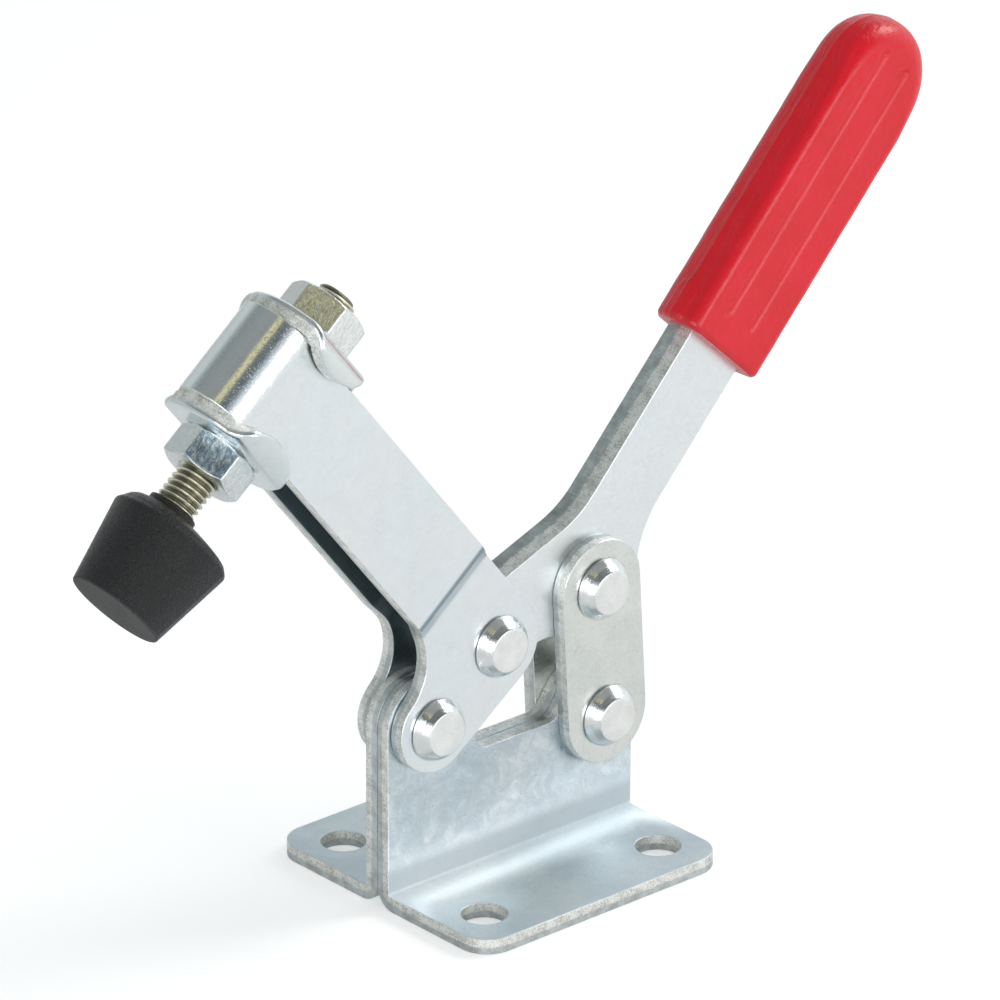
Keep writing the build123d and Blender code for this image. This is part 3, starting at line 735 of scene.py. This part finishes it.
def rivet_half(shank):
    """Half of a rivet's profile, from the middle of its shank to the middle of its top."""
    seat, top = HEAD_SEAT, HEAD_SEAT + HEAD_HEIGHT
    rim = seat + RIM_HEIGHT
    belly = ((HEAD_RADIUS + TOP_RADIUS) / 2 + 0.10, (rim + top) / 2 + 0.08)
    corners = [(shank, 0), (shank, seat), (HEAD_RADIUS, seat), (HEAD_RADIUS, rim), belly]
    corners += [(TOP_RADIUS, top), (0.9, top), (0.05, top - 0.05)]
    return rounded_path(corners, HEAD_ROUNDS, steps=8)


def rivet(node, place, body, shank):
    """A rivet through the clamp at a place: its half profile and that profile mirrored."""
    half = rivet_half(shank)
    profile = np.concatenate([half[::-1], half[1:] * (1, -1)])
    local = turned_profile(profile[:, 0], profile[:, 1], 96)
    mesh = looped(node, placed(local, place, slanted(0), slanted(90), SIDE), sharp=60)
    piece(node + "_turned", mesh, body, node, head_zinc)


rivet("front_pivot_rivet", FRONT_PIVOT, "base", RIVET_SHANK)
rivet("rear_pivot_rivet", REAR_PIVOT, "base", RIVET_SHANK)
rivet("arm_rivet", arm_pivot, "arm", RIVET_SHANK)
rivet("link_rivet", link_pivot, "link", LINK_RIVET_SHANK)

# %% [markdown]
# A nut is a hexagon cut by a cone at each end, which leaves the curved chamfer on every flat.
# In numbers, the outline at each height is the smaller of two radii: the hexagon's, which
# depends on the angle, and the cone's, which depends on the height. Taking a soft minimum
# instead of a hard one rolls the edges between them, as plating and tumbling do.

# %% Nuts
NUT_WIDTH, NUT_HEIGHT, BORE, BORE_CHAMFER = 13.7, 6.5, 3.98, 0.55
CONE_SLOPE = math.tan(math.radians(30))
ROUND, UPRIGHT = 240, 45  # points round a nut and up its sides
ARM_TOP = ARM_CRANK + 9.15
ARM_BOTTOM = ARM_TOP - 19.1
WASHER_THICKNESS = 3.1


def soft_smaller(first, second, sharpness):
    """A rounded minimum of two positive arrays; larger sharpness means a tighter edge."""
    return (first**-sharpness + second**-sharpness) ** (-1 / sharpness)


def nut_loops(turn):
    """A nut in its own frame: bore, lower face, six flats under two cones, and upper face."""
    flat = NUT_WIDTH / 2
    angle = np.radians(turn) + np.linspace(0, 2 * math.pi, ROUND, endpoint=False)
    from_flat = (np.degrees(angle) - turn) % 60 - 30
    hexagon = flat / np.cos(np.radians(from_flat))
    corner = np.full_like(angle, flat / math.cos(math.radians(30)) * 0.992)
    hexagon = soft_smaller(hexagon, corner, 220)
    levels = (1 - np.cos(np.linspace(0, math.pi, UPRIGHT))) / 2 * NUT_HEIGHT
    from_end = np.minimum(levels, NUT_HEIGHT - levels)[:, None]
    cone = np.broadcast_to(flat * 0.995 + from_end / CONE_SLOPE, (UPRIGHT, ROUND))
    sides = soft_smaller(np.broadcast_to(hexagon, cone.shape), cone, 160)
    mouth, share = BORE + BORE_CHAMFER, np.array([0.0, 0.3, 0.6, 0.85, 0.96])[:, None]
    lower = mouth + share * (sides[:1] - mouth)
    upper = mouth + share[::-1] * (sides[-1:] - mouth)
    bore = np.full((1, ROUND), BORE)
    radii = np.concatenate([bore, lower, sides, upper, bore])
    top = np.full(len(share), NUT_HEIGHT)
    heights = [[BORE_CHAMFER], 0 * top, levels, top, [NUT_HEIGHT - BORE_CHAMFER]]
    heights = np.concatenate(heights)[:, None]
    return np.stack([radii * np.cos(angle), radii * np.sin(angle), heights + 0 * angle], -1)


def nut(node, bottom, turn, finish):
    """A nut on the spindle, its lower face at a level, with one of its flats in a colour of its
    own.
    """
    local = nut_loops(turn)
    loops = placed(local, spindle_axis + bottom * up_spindle, along_arm, -SIDE, up_spindle)
    round_axis = (np.degrees(np.arctan2(local[..., 1], local[..., 0])) - turn) % 360
    from_end = np.minimum(local[..., 2], NUT_HEIGHT - local[..., 2])
    stained = np.clip((from_end - 0.25) / 0.3, 0, 1) * ((round_axis > 0.8) & (round_axis < 59.2))
    mesh = looped(node, loops, ring=True, sharp=50, numbers={"stained": stained})
    piece(node + "_pressed", mesh, "carriage", node, finish)


nut("lower_nut", ARM_BOTTOM - WASHER_THICKNESS - NUT_HEIGHT, 12.5, lower_nut_zinc)
nut("upper_nut", ARM_TOP + WASHER_THICKNESS, 5.0, upper_nut_zinc)

# %% [markdown]
# The spindle is a bolt threaded all the way. A thread is a single groove that climbs one pitch
# a turn, so the radius at any point depends only on how far the point is past the nearest
# crest: the height in pitches minus the angle in turns. That one formula on a fine grid gives
# the whole screw, with crests that show in the silhouette.

# %% Spindle
PITCH, CREST, ROOT = 1.25, 3.95, 3.26
SPINDLE_FOOT, SPINDLE_TOP, STEPS_A_TURN = -21.0, 40.0, 14


def thread_loops():
    """The screw: a rounded wave of the height less the angle, narrowed by a cone at each end."""
    columns = 64
    angle = np.linspace(0, 2 * math.pi, columns, endpoint=False)
    steps = int((SPINDLE_TOP - SPINDLE_FOOT) / PITCH * STEPS_A_TURN)
    levels = np.linspace(SPINDLE_FOOT, SPINDLE_TOP, 1 + steps)[:, None]
    phase = (levels / PITCH - angle / (2 * math.pi)) % 1
    from_root = np.clip((abs(2 * phase - 1) - 0.10) / 0.80, 0, 1)
    wave = 0.5 * from_root + 0.5 * from_root**2 * (3 - 2 * from_root)
    radii = ROOT + (CREST - ROOT) * wave
    from_end = np.minimum(levels - SPINDLE_FOOT, SPINDLE_TOP - levels)
    radii = np.minimum(radii, CREST - 0.75 + from_end)
    body = np.stack([radii * np.cos(angle), radii * np.sin(angle), levels + 0 * angle], -1)
    foot = turned_profile([0.3, 1.6], [SPINDLE_FOOT, SPINDLE_FOOT], columns)
    top = turned_profile([2.2, 0.3], [SPINDLE_TOP - 0.12, SPINDLE_TOP - 0.16], columns)
    return np.concatenate([foot, body, top])


screw = placed(thread_loops(), spindle_axis, along_arm, -SIDE, up_spindle)
screw = looped("screw", screw, sharp=75)
piece("spindle_threaded", screw, "spindle_set", "spindle", thread_zinc)

# %% [markdown]
# A flanged washer starts as a flat blank: a round disc whose two sides reach a little further.
# The press then folds those sides over the arm's legs. The grid here does the same two steps.
# First it lays out the flat blank, from the hole to the outline, with one edge rolled over by
# the die and the other left crisp. Then it folds every point: past the bend line, distance
# along the blank becomes an angle round the bend, and after a right angle it runs straight.

# %% Flanged washers
HOLE, DISC, BEND, BEND_START, WING = 4.25, 12.1, 0.5, 7.85, 2.25
NEUTRAL = BEND + WASHER_THICKNESS / 2  # radius of the layer that keeps its length in the bend
CRISP, ROLLED, STATIONS, ACROSS = 0.16, 0.75, 220, 32


def blank_outline():
    """The blank's outline, evenly spaced: two arcs of the disc and two flatter arcs past it."""
    half_chord = math.sqrt(DISC**2 - BEND_START**2)
    reach = math.radians(90) * NEUTRAL + WING - BEND
    lobe = (half_chord**2 + reach**2) / (2 * reach)
    fore = np.linspace(-1, 1, 400) * math.asin(BEND_START / DISC)
    side = np.linspace(-1, 1, 400) * math.asin(half_chord / lobe)
    front = np.stack([DISC * np.cos(fore), DISC * np.sin(fore)], -1)
    wing = np.stack([-lobe * np.sin(side), BEND_START + reach - lobe + lobe * np.cos(side)], -1)
    around = np.concatenate([front, wing, -front, -wing])
    steps = np.linalg.norm(np.diff(around, axis=0, append=around[:1]), axis=1)
    length = np.concatenate([[0], np.cumsum(steps)])
    even = np.linspace(0, length[-1], STATIONS, endpoint=False)
    closed = np.concatenate([around, around[:1]])
    return np.stack([np.interp(even, length, axis) for axis in closed.T], -1)


def folded(points):
    """Folds blank points (along, across, through): an arc past the bend line, then straight."""
    u, v, w = points[..., 0], points[..., 1], points[..., 2]
    past = np.maximum(abs(v) - BEND_START, 0)
    angle = np.minimum(past / NEUTRAL, math.pi / 2)
    straight = past - angle * NEUTRAL
    out = np.minimum(abs(v), BEND_START) + (BEND + w) * np.sin(angle)
    rise = (BEND + w) * np.cos(angle) - BEND - straight
    return np.stack([u, np.sign(v) * out, rise], -1)


def washer_loops():
    """Loops round the hole: the face on the arm, the outer edge, the other face, the hole."""
    outline = blank_outline()
    hole = HOLE * outline / np.linalg.norm(outline, axis=1, keepdims=True)
    inward = hole - outline
    inward /= np.linalg.norm(inward, axis=1, keepdims=True)
    share = np.linspace(0, 1, ACROSS)[:, None, None]
    under = hole + share * (outline + CRISP * inward - hole)
    over = outline + ROLLED * inward + share * (hole - outline - ROLLED * inward)
    t = np.linspace(0, math.pi / 2, 9)
    edge_in = np.concatenate([CRISP * (1 - np.sin(t)), [0.03, 0.0], ROLLED * (1 - np.cos(t))])
    rolled_up = WASHER_THICKNESS - ROLLED + ROLLED * np.sin(t)
    edge_up = np.concatenate([CRISP * (1 - np.cos(t)), [1.0, 1.8], rolled_up])
    edge = outline + edge_in[1:-1, None, None] * inward
    flat = np.concatenate([under, edge, over])
    top = np.full(ACROSS, WASHER_THICKNESS)
    levels = np.concatenate([0 * top, edge_up[1:-1], top])
    on_edge = np.zeros(len(levels))
    on_edge[ACROSS - 1 : ACROSS + 10] = 1
    on_edge = np.broadcast_to(on_edge[:, None], flat.shape[:2])
    levels = np.broadcast_to(levels[:, None, None], (*flat.shape[:2], 1))
    return folded(np.concatenate([flat, levels], -1)), on_edge


def washer(node, face, outward):
    """A flanged washer whose inner face lies on the arm's edge at a level."""
    loops, on_edge = washer_loops()
    origin = spindle_axis + face * up_spindle
    loops = placed(loops, origin, along_arm, SIDE, outward * up_spindle)
    mesh = looped(node, loops, ring=True, sharp=60, numbers={"sheared": on_edge, "depth": on_edge})
    piece(node + "_folded", mesh, "carriage", node, washer_zinc)


washer("lower_flanged_washer", ARM_BOTTOM, -1)
washer("upper_flanged_washer", ARM_TOP, 1)

# %% [markdown]
# The tip is a blunt rubber cone, pulled over the end of the spindle. Its body sits a little off
# the spindle's axis, and a thin collar still hugs the thread, so the loops slide from one axis
# to the other as they climb. The two halves of the mould leave a fine raised line up the flank.

# %% Rubber tip
TIP_OFFSET, TIP_ROUND = 1.85, 160
TIP_OUTLINE = [(0.05, -27.9), (9.0, -27.9), (11.75, -12.0), (10.6, -10.75), (9.2, -10.05)]
TIP_OUTLINE += [(7.6, -9.45), (5.9, -9.0), (4.7, -8.8), (4.7, -7.5)]
TIP_OUTLINE += [(3.95, -7.5), (3.90, -20.5), (0.05, -20.5)]
TIP_ROUNDS = [0.40, 0.9, 1.5, 3.0, 3.0, 1.2, 0.3, 0.25, 0.15, 0.1]
PARTING_AT = 118  # degrees round the spindle, and again on the far side


def tip_loops():
    """Circles of the outline, whose centres slide from the body's axis to the spindle's."""
    outline = rounded_path(TIP_OUTLINE, TIP_ROUNDS, steps=9)
    step = np.linalg.norm(np.diff(outline, axis=0), axis=1)
    length = np.concatenate([[0], np.cumsum(step)])
    even = np.sort(np.concatenate([length, np.arange(0.4, length[-1], 0.6)]))
    radii = np.interp(even, length, outline[:, 0])
    levels = np.interp(even, length, outline[:, 1])
    loops = turned_profile(radii, levels, TIP_ROUND)
    angle = np.linspace(0, 360, TIP_ROUND, endpoint=False)
    outside = even < length[np.argmin(abs(outline[:, 1] + 9.0))]
    from_parting = abs((angle - PARTING_AT) % 180 - 90) - 90
    parting = np.exp(-(from_parting**2) / 1.2)
    ridge = 0.14 * parting[None] * (outside * (radii > 9.2))[:, None]
    loops[..., :2] *= 1 + (ridge / np.maximum(radii, 1)[:, None])[..., None]
    inside = np.arange(len(even)) > np.argmax(levels)
    rise = np.clip((levels + 11.2) / 2.6, 0, 1)
    slide = np.where(inside, 1.0, eased(rise))[:, None]
    loops[..., 0] -= TIP_OFFSET * (1 - slide)
    loops[..., 1] += TIP_OFFSET * (1 - slide)
    return loops


rubber = placed(tip_loops(), spindle_axis, along_arm, -SIDE, up_spindle)
rubber = looped("tip", rubber, sharp=70)
piece("rubber_tip_moulded", rubber, "spindle_set", "rubber_tip", black_rubber)

# %% [markdown]
# The grip is a dipped sleeve: a flat bar's outline with a round end, carried down over the
# shank. Its skin is one grid. Each row stands on a station of that outline and runs from the
# middle of one broad face, over the rolled rim, to the middle of the other. The two flutes,
# the line down the narrow sides and the tongue of vinyl at the mouth are small heights added
# along the same rows. The pocket for the shank closes the sleeve.

# %% Grip
GRIP_START, GRIP_END, GRIP_HALF_WIDTH, GRIP_HALF = 47.5, 116.6, 11.6, 6.0
GRIP_ROUND, FAR_ROUND, END_ROUND, EDGE_LEAN = 2.2, 4.2, 5.0, 0.8
SHANK_OFFSET, SHANK_HALF, POCKET_END = 3.8, 7.7, 111.0
FLUTE_MIDDLE, FLUTE_PITCH, FLUTE_START, FLUTE_END = 1.35, 7.1, 53.9, 108.9
FLUTE_HALF, FLUTE_DEPTH, DIMPLE_DEPTH, DIMPLE, LIP_HEIGHT = 0.95, 0.26, 0.22, 0.5, 0.05
TONGUE_END, TONGUE_SLOPE, TONGUE_HEIGHT, LINE_HALF, LINE_HEIGHT = 53.5, 2.2, 0.35, 0.5, 0.10
MOUTH_LENGTH, MOUTH_SHRINK = 0.9, 0.05
SIDE_FROM = 6.0  # how far off the middle the narrow sides' relief starts
END_CENTRE = GRIP_END - GRIP_HALF_WIDTH


def bump_along(values, start, end, soft):
    """1 between start and end, and a smooth fall to 0 over a stretch soft outside them."""
    rise = np.clip((values - start) / soft + 1, 0, 1)
    fall = np.clip((end - values) / soft + 1, 0, 1)
    return eased(rise) * eased(fall)


def grip_section(rounding):
    """Half the section as (distance in, height): narrow side, rolled corner, broad face."""
    corners = [(0, 0), (EDGE_LEAN, GRIP_HALF), (GRIP_HALF_WIDTH, GRIP_HALF)]
    corner = rounded_path(corners, [rounding], steps=13)
    side = np.linspace(corner[0], corner[1], 12)[:-1]
    broad = np.linspace(corner[-2], corner[-1], 40)[1:]
    return np.concatenate([side, corner[1:-1], broad])[::-1]


def grip_relief(up, across, thick):
    """How far flutes, their end dimples and the lips beside them sink the broad faces."""
    lane = abs(abs(across - FLUTE_MIDDLE) - FLUTE_PITCH / 2)
    along = np.maximum(np.maximum(FLUTE_START - up, up - FLUTE_END), 0)
    reach = np.hypot(lane, along)
    flute = np.clip(1 - (reach / FLUTE_HALF) ** 2, 0, 1) ** 0.6
    at_ends = [((up - end) / DIMPLE) ** 2 for end in (FLUTE_END, FLUTE_START)]
    dimples = sum(np.exp(-((lane / DIMPLE) ** 2) - at_end) for at_end in at_ends)
    lipped = np.exp(-(((reach - 1.15) / 0.3) ** 2))
    broad_face = abs(thick) > GRIP_HALF - 0.01
    sunk = FLUTE_DEPTH * flute + DIMPLE_DEPTH * dimples - LIP_HEIGHT * lipped
    return np.sign(thick) * broad_face * sunk


def grip_loops():
    """Rows on stations of the outline; columns by distance in from it, on both faces."""
    straight = GRIP_START + (END_CENTRE - GRIP_START) * np.linspace(0, 1, 92)[:-1]
    turn = np.linspace(-math.pi / 2, math.pi / 2, 61)
    x = np.concatenate([straight, END_CENTRE + 0 * turn, straight[::-1]])
    front = np.concatenate([0 * straight + 1, -np.sin(turn), 0 * straight - 1])[:, None]
    fore = np.concatenate([0 * straight, np.cos(turn), 0 * straight])
    near, far, end = [grip_section(r) for r in (GRIP_ROUND, FAR_ROUND, END_ROUND)]
    ended = eased(np.clip((x + 9 * fore - 97) / 15, 0, 1))[:, None, None]
    near, far = near + ended * (end - near), far + ended * (end - far)
    section = np.concatenate([near, far[:, ::-1] * (1, -1)], axis=1)
    inset, height = section[..., 0], section[..., 1]
    across = (GRIP_HALF_WIDTH - inset) * front
    up = x[:, None] + (GRIP_HALF_WIDTH - inset) * fore[:, None]
    thick = height - grip_relief(up, across, height)
    swell = 0.10 * np.sin(up * 0.42 + 1.2) + 0.07 * np.sin(up * 1.13)
    across = across * (1 - 0.006 * (1 + swell * 4) * (abs(across) > SIDE_FROM))
    past_tongue = np.maximum(up - TONGUE_END, 0) / TONGUE_SLOPE
    tongue = bump_along(np.hypot(thick / TONGUE_SLOPE, past_tongue), -1, 0.8, 0.4)
    across = across + TONGUE_HEIGHT * tongue * (front > 0.99) * (across > SIDE_FROM)
    parting = np.clip(1 - abs(thick) / LINE_HALF, 0, 1) * (abs(across) > SIDE_FROM)
    across = across + LINE_HEIGHT * np.sign(across) * parting
    lip = np.clip((GRIP_START + MOUTH_LENGTH - up) / MOUTH_LENGTH, 0, 1)
    shrink = 1 - MOUTH_SHRINK * lip**2
    return np.stack([up, SHANK_OFFSET + across * shrink, thick * shrink], -1)


def grip_mesh():
    """The skin, its mouth drawn in to the shank, and the pocket closed at its far end."""
    skin = grip_loops()
    rim = np.concatenate([skin[0], skin[-1][::-1]])
    reach, height = rim[:, 1] - SHANK_OFFSET, rim[:, 2]
    across = np.clip(reach, -SHANK_HALF, SHANK_HALF)
    thick = np.clip(height, -LEVER_HALF, LEVER_HALF)
    loops = [rim]
    for depth, pull in ((0.0, 0.55), (0.15, 1.0), (1.6, 1.0), (POCKET_END - GRIP_START, 1.0)):
        wide = reach + pull * (across - reach)
        tall = height + pull * (thick - height)
        loops.append(np.stack([GRIP_START + depth + 0 * wide, SHANK_OFFSET + wide, tall], -1))
    rows, columns, _ = skin.shape
    i, j = np.meshgrid(np.arange(rows - 1), np.arange(columns - 1), indexing="ij")
    corner = i * columns + j
    sheet = np.stack([corner, corner + 1, corner + columns + 1, corner + columns], -1)
    around = len(rim)
    pocket = grid_faces(len(loops), around, False) + rows * columns
    points = np.concatenate([skin.reshape(-1, 3), *loops])
    floor_of_pocket = list(range(len(points) - around, len(points)))
    faces = sheet.reshape(-1, 4).tolist() + pocket.tolist() + [floor_of_pocket]
    mesh = bpy.data.meshes.new("grip")
    points = placed(points, link_pivot, up_shank, across_shank, -SIDE)
    mesh.from_pydata((points * MM).tolist(), [], faces)
    tidy_mesh(mesh, 62)
    print("grip:", len(mesh.polygons), "faces")
    return mesh


piece("handle_grip_dipped", grip_mesh(), "handle", "handle_grip", red_vinyl)

# %% [markdown]
# The clamp stands on a sheet of white paper far wider than the view. The lamps alone would
# leave it greyer than the white round it, so it gives a little light of its own, more to the
# eye than in the metal. The clamp's shadow still shows on it.

# %% Floor
FLOOR_HALF, FLOOR_LEVEL = 4, -0.0001
signs = ((-1, -1), (1, -1), (1, 1), (-1, 1))
corners = [(x * FLOOR_HALF, y * FLOOR_HALF, FLOOR_LEVEL) for x, y in signs]
floor_mesh = bpy.data.meshes.new("floor")
floor_mesh.from_pydata(corners, [], [(0, 1, 2, 3)])
floor = in_scene("floor", floor_mesh)
paper = Recipe("paper")
paper.feed(paper.shader.inputs["Base Color"], (0.90, 0.90, 0.90))
paper.feed(paper.shader.inputs["Roughness"], 0.9)
seen = paper.node("ShaderNodeLightPath", output="Is Camera Ray")
mirrored = paper.node("ShaderNodeLightPath", output="Is Glossy Ray")
lift = 0.44 * seen + 0.10 * mirrored
glow = paper.node("ShaderNodeEmission", {}, {"Color": (1.0, 1.0, 1.0), "Strength": lift})
lit = {0: Value(paper, paper.shader.outputs[0]), 1: glow}
whole = paper.node("ShaderNodeAddShader", {}, lit)
paper.tree.links.new(whole.socket, paper.tree.nodes["Material Output"].inputs["Surface"])
floor_mesh.materials.append(paper.material)
print("floor laid")

# %% [markdown]
# A plain studio: a soft room and a few soft lamps. Metal shows nothing but its surroundings,
# so the room is not one grey. It is pale near the horizon, dark overhead like a ceiling out
# of the lamps' reach, brighter on its right side, and has one small straw-coloured patch
# above the front. To the eye itself the room is plain white.

# %% Room and lamps
world = bpy.data.worlds.new("world")
bpy.context.scene.world = world
world.use_nodes = True
room = Recipe("room", world.node_tree)
look = room.node("ShaderNodeTexCoord", output="Generated")
eastward, northward, rise = [
    room.node("ShaderNodeSeparateXYZ", {}, {0: look}, output=axis) for axis in "XYZ"
]


def wall(*stops):
    """A grey that depends on how high one looks, from stops of (height of the view, colour)."""
    stops = [((height + 1) / 2, colour) for height, colour in stops]
    return room.node("ShaderNodeValToRGB", {"stops": stops}, {0: rise * 0.5 + 0.5})


DARK, HIGH, CEILING = (0.10, 0.12, 0.135), (0.28, 0.30, 0.30), (0.34, 0.34, 0.34)
front_wall = wall(
    (-1, (0.8, 0.8, 0.8)),
    (0.02, (1.0, 1.0, 1.0)),
    (0.28, (0.95, 0.97, 1.0)),
    (0.44, (0.42, 0.46, 0.49)),
    (0.55, DARK),
    (0.78, (0.16, 0.17, 0.17)),
    (0.90, HIGH),
    (1, CEILING),
)
back_wall = wall(
    (-1, (0.7, 0.7, 0.7)),
    (0.0, (0.50, 0.53, 0.53)),
    (0.44, (0.56, 0.60, 0.60)),
    (0.56, (0.38, 0.42, 0.42)),
    (0.70, (0.22, 0.25, 0.25)),
    (0.90, HIGH),
    (1, CEILING),
)
right_wall = wall(
    (-1, (0.8, 0.8, 0.8)),
    (0.1, (0.92, 0.97, 1.0)),
    (0.55, (0.84, 0.91, 0.95)),
    (0.85, CEILING),
)
walls = room.blend(northward.between(-0.25, 0.25), front_wall, back_wall)
on_right = eastward.between(0.30, 0.58) * northward.between(-0.95, 0.2)
walls = room.blend(on_right, walls, right_wall)
straw_way = Vector((-0.349, -0.475, 0.807)).normalized()
straw_edge, straw_core = math.cos(math.radians(8.6)), math.cos(math.radians(7))
straw = room.dot(look, straw_way).between(straw_edge, straw_core)
sky = room.blend(straw, walls, (0.72, 0.66, 0.38))
to_camera = room.node("ShaderNodeLightPath", output="Is Camera Ray")
background = world.node_tree.nodes["Background"]
room.feed(background.inputs["Color"], room.blend(to_camera, sky, (1.0, 1.0, 1.0)))


def lamp(name, direction, distance, target, size, watts, colour=(1, 1, 1)):
    """A soft rectangular lamp in a direction from a target, in metres, facing it."""
    data = bpy.data.lights.new(name, "AREA")
    data.shape = "RECTANGLE"
    data.size, data.size_y = size
    data.energy = watts
    data.color = colour
    made = in_scene(name, data)
    way = Vector(direction).normalized()
    made.location = Vector(target) + way * distance
    made.rotation_euler = way.to_track_quat("Z", "Y").to_euler()


middle = (0.0, 0.0, 0.075)
lamp("front softbox", (0.17, -0.97, 0.12), 1.1, middle, (0.34, 0.34), 1.4)
lamp("top softbox", (0.74, -0.22, 0.64), 1.2, middle, (0.45, 0.45), 4.4, (1.0, 0.99, 0.97))
lamp("left strip", (-0.95, -0.35, 0.42), 1.1, middle, (0.18, 0.6), 1.0)
lamp("front fill", (-0.74, -0.64, 0.12), 1.3, middle, (0.6, 0.6), 3.2)
print("room and lamps set")
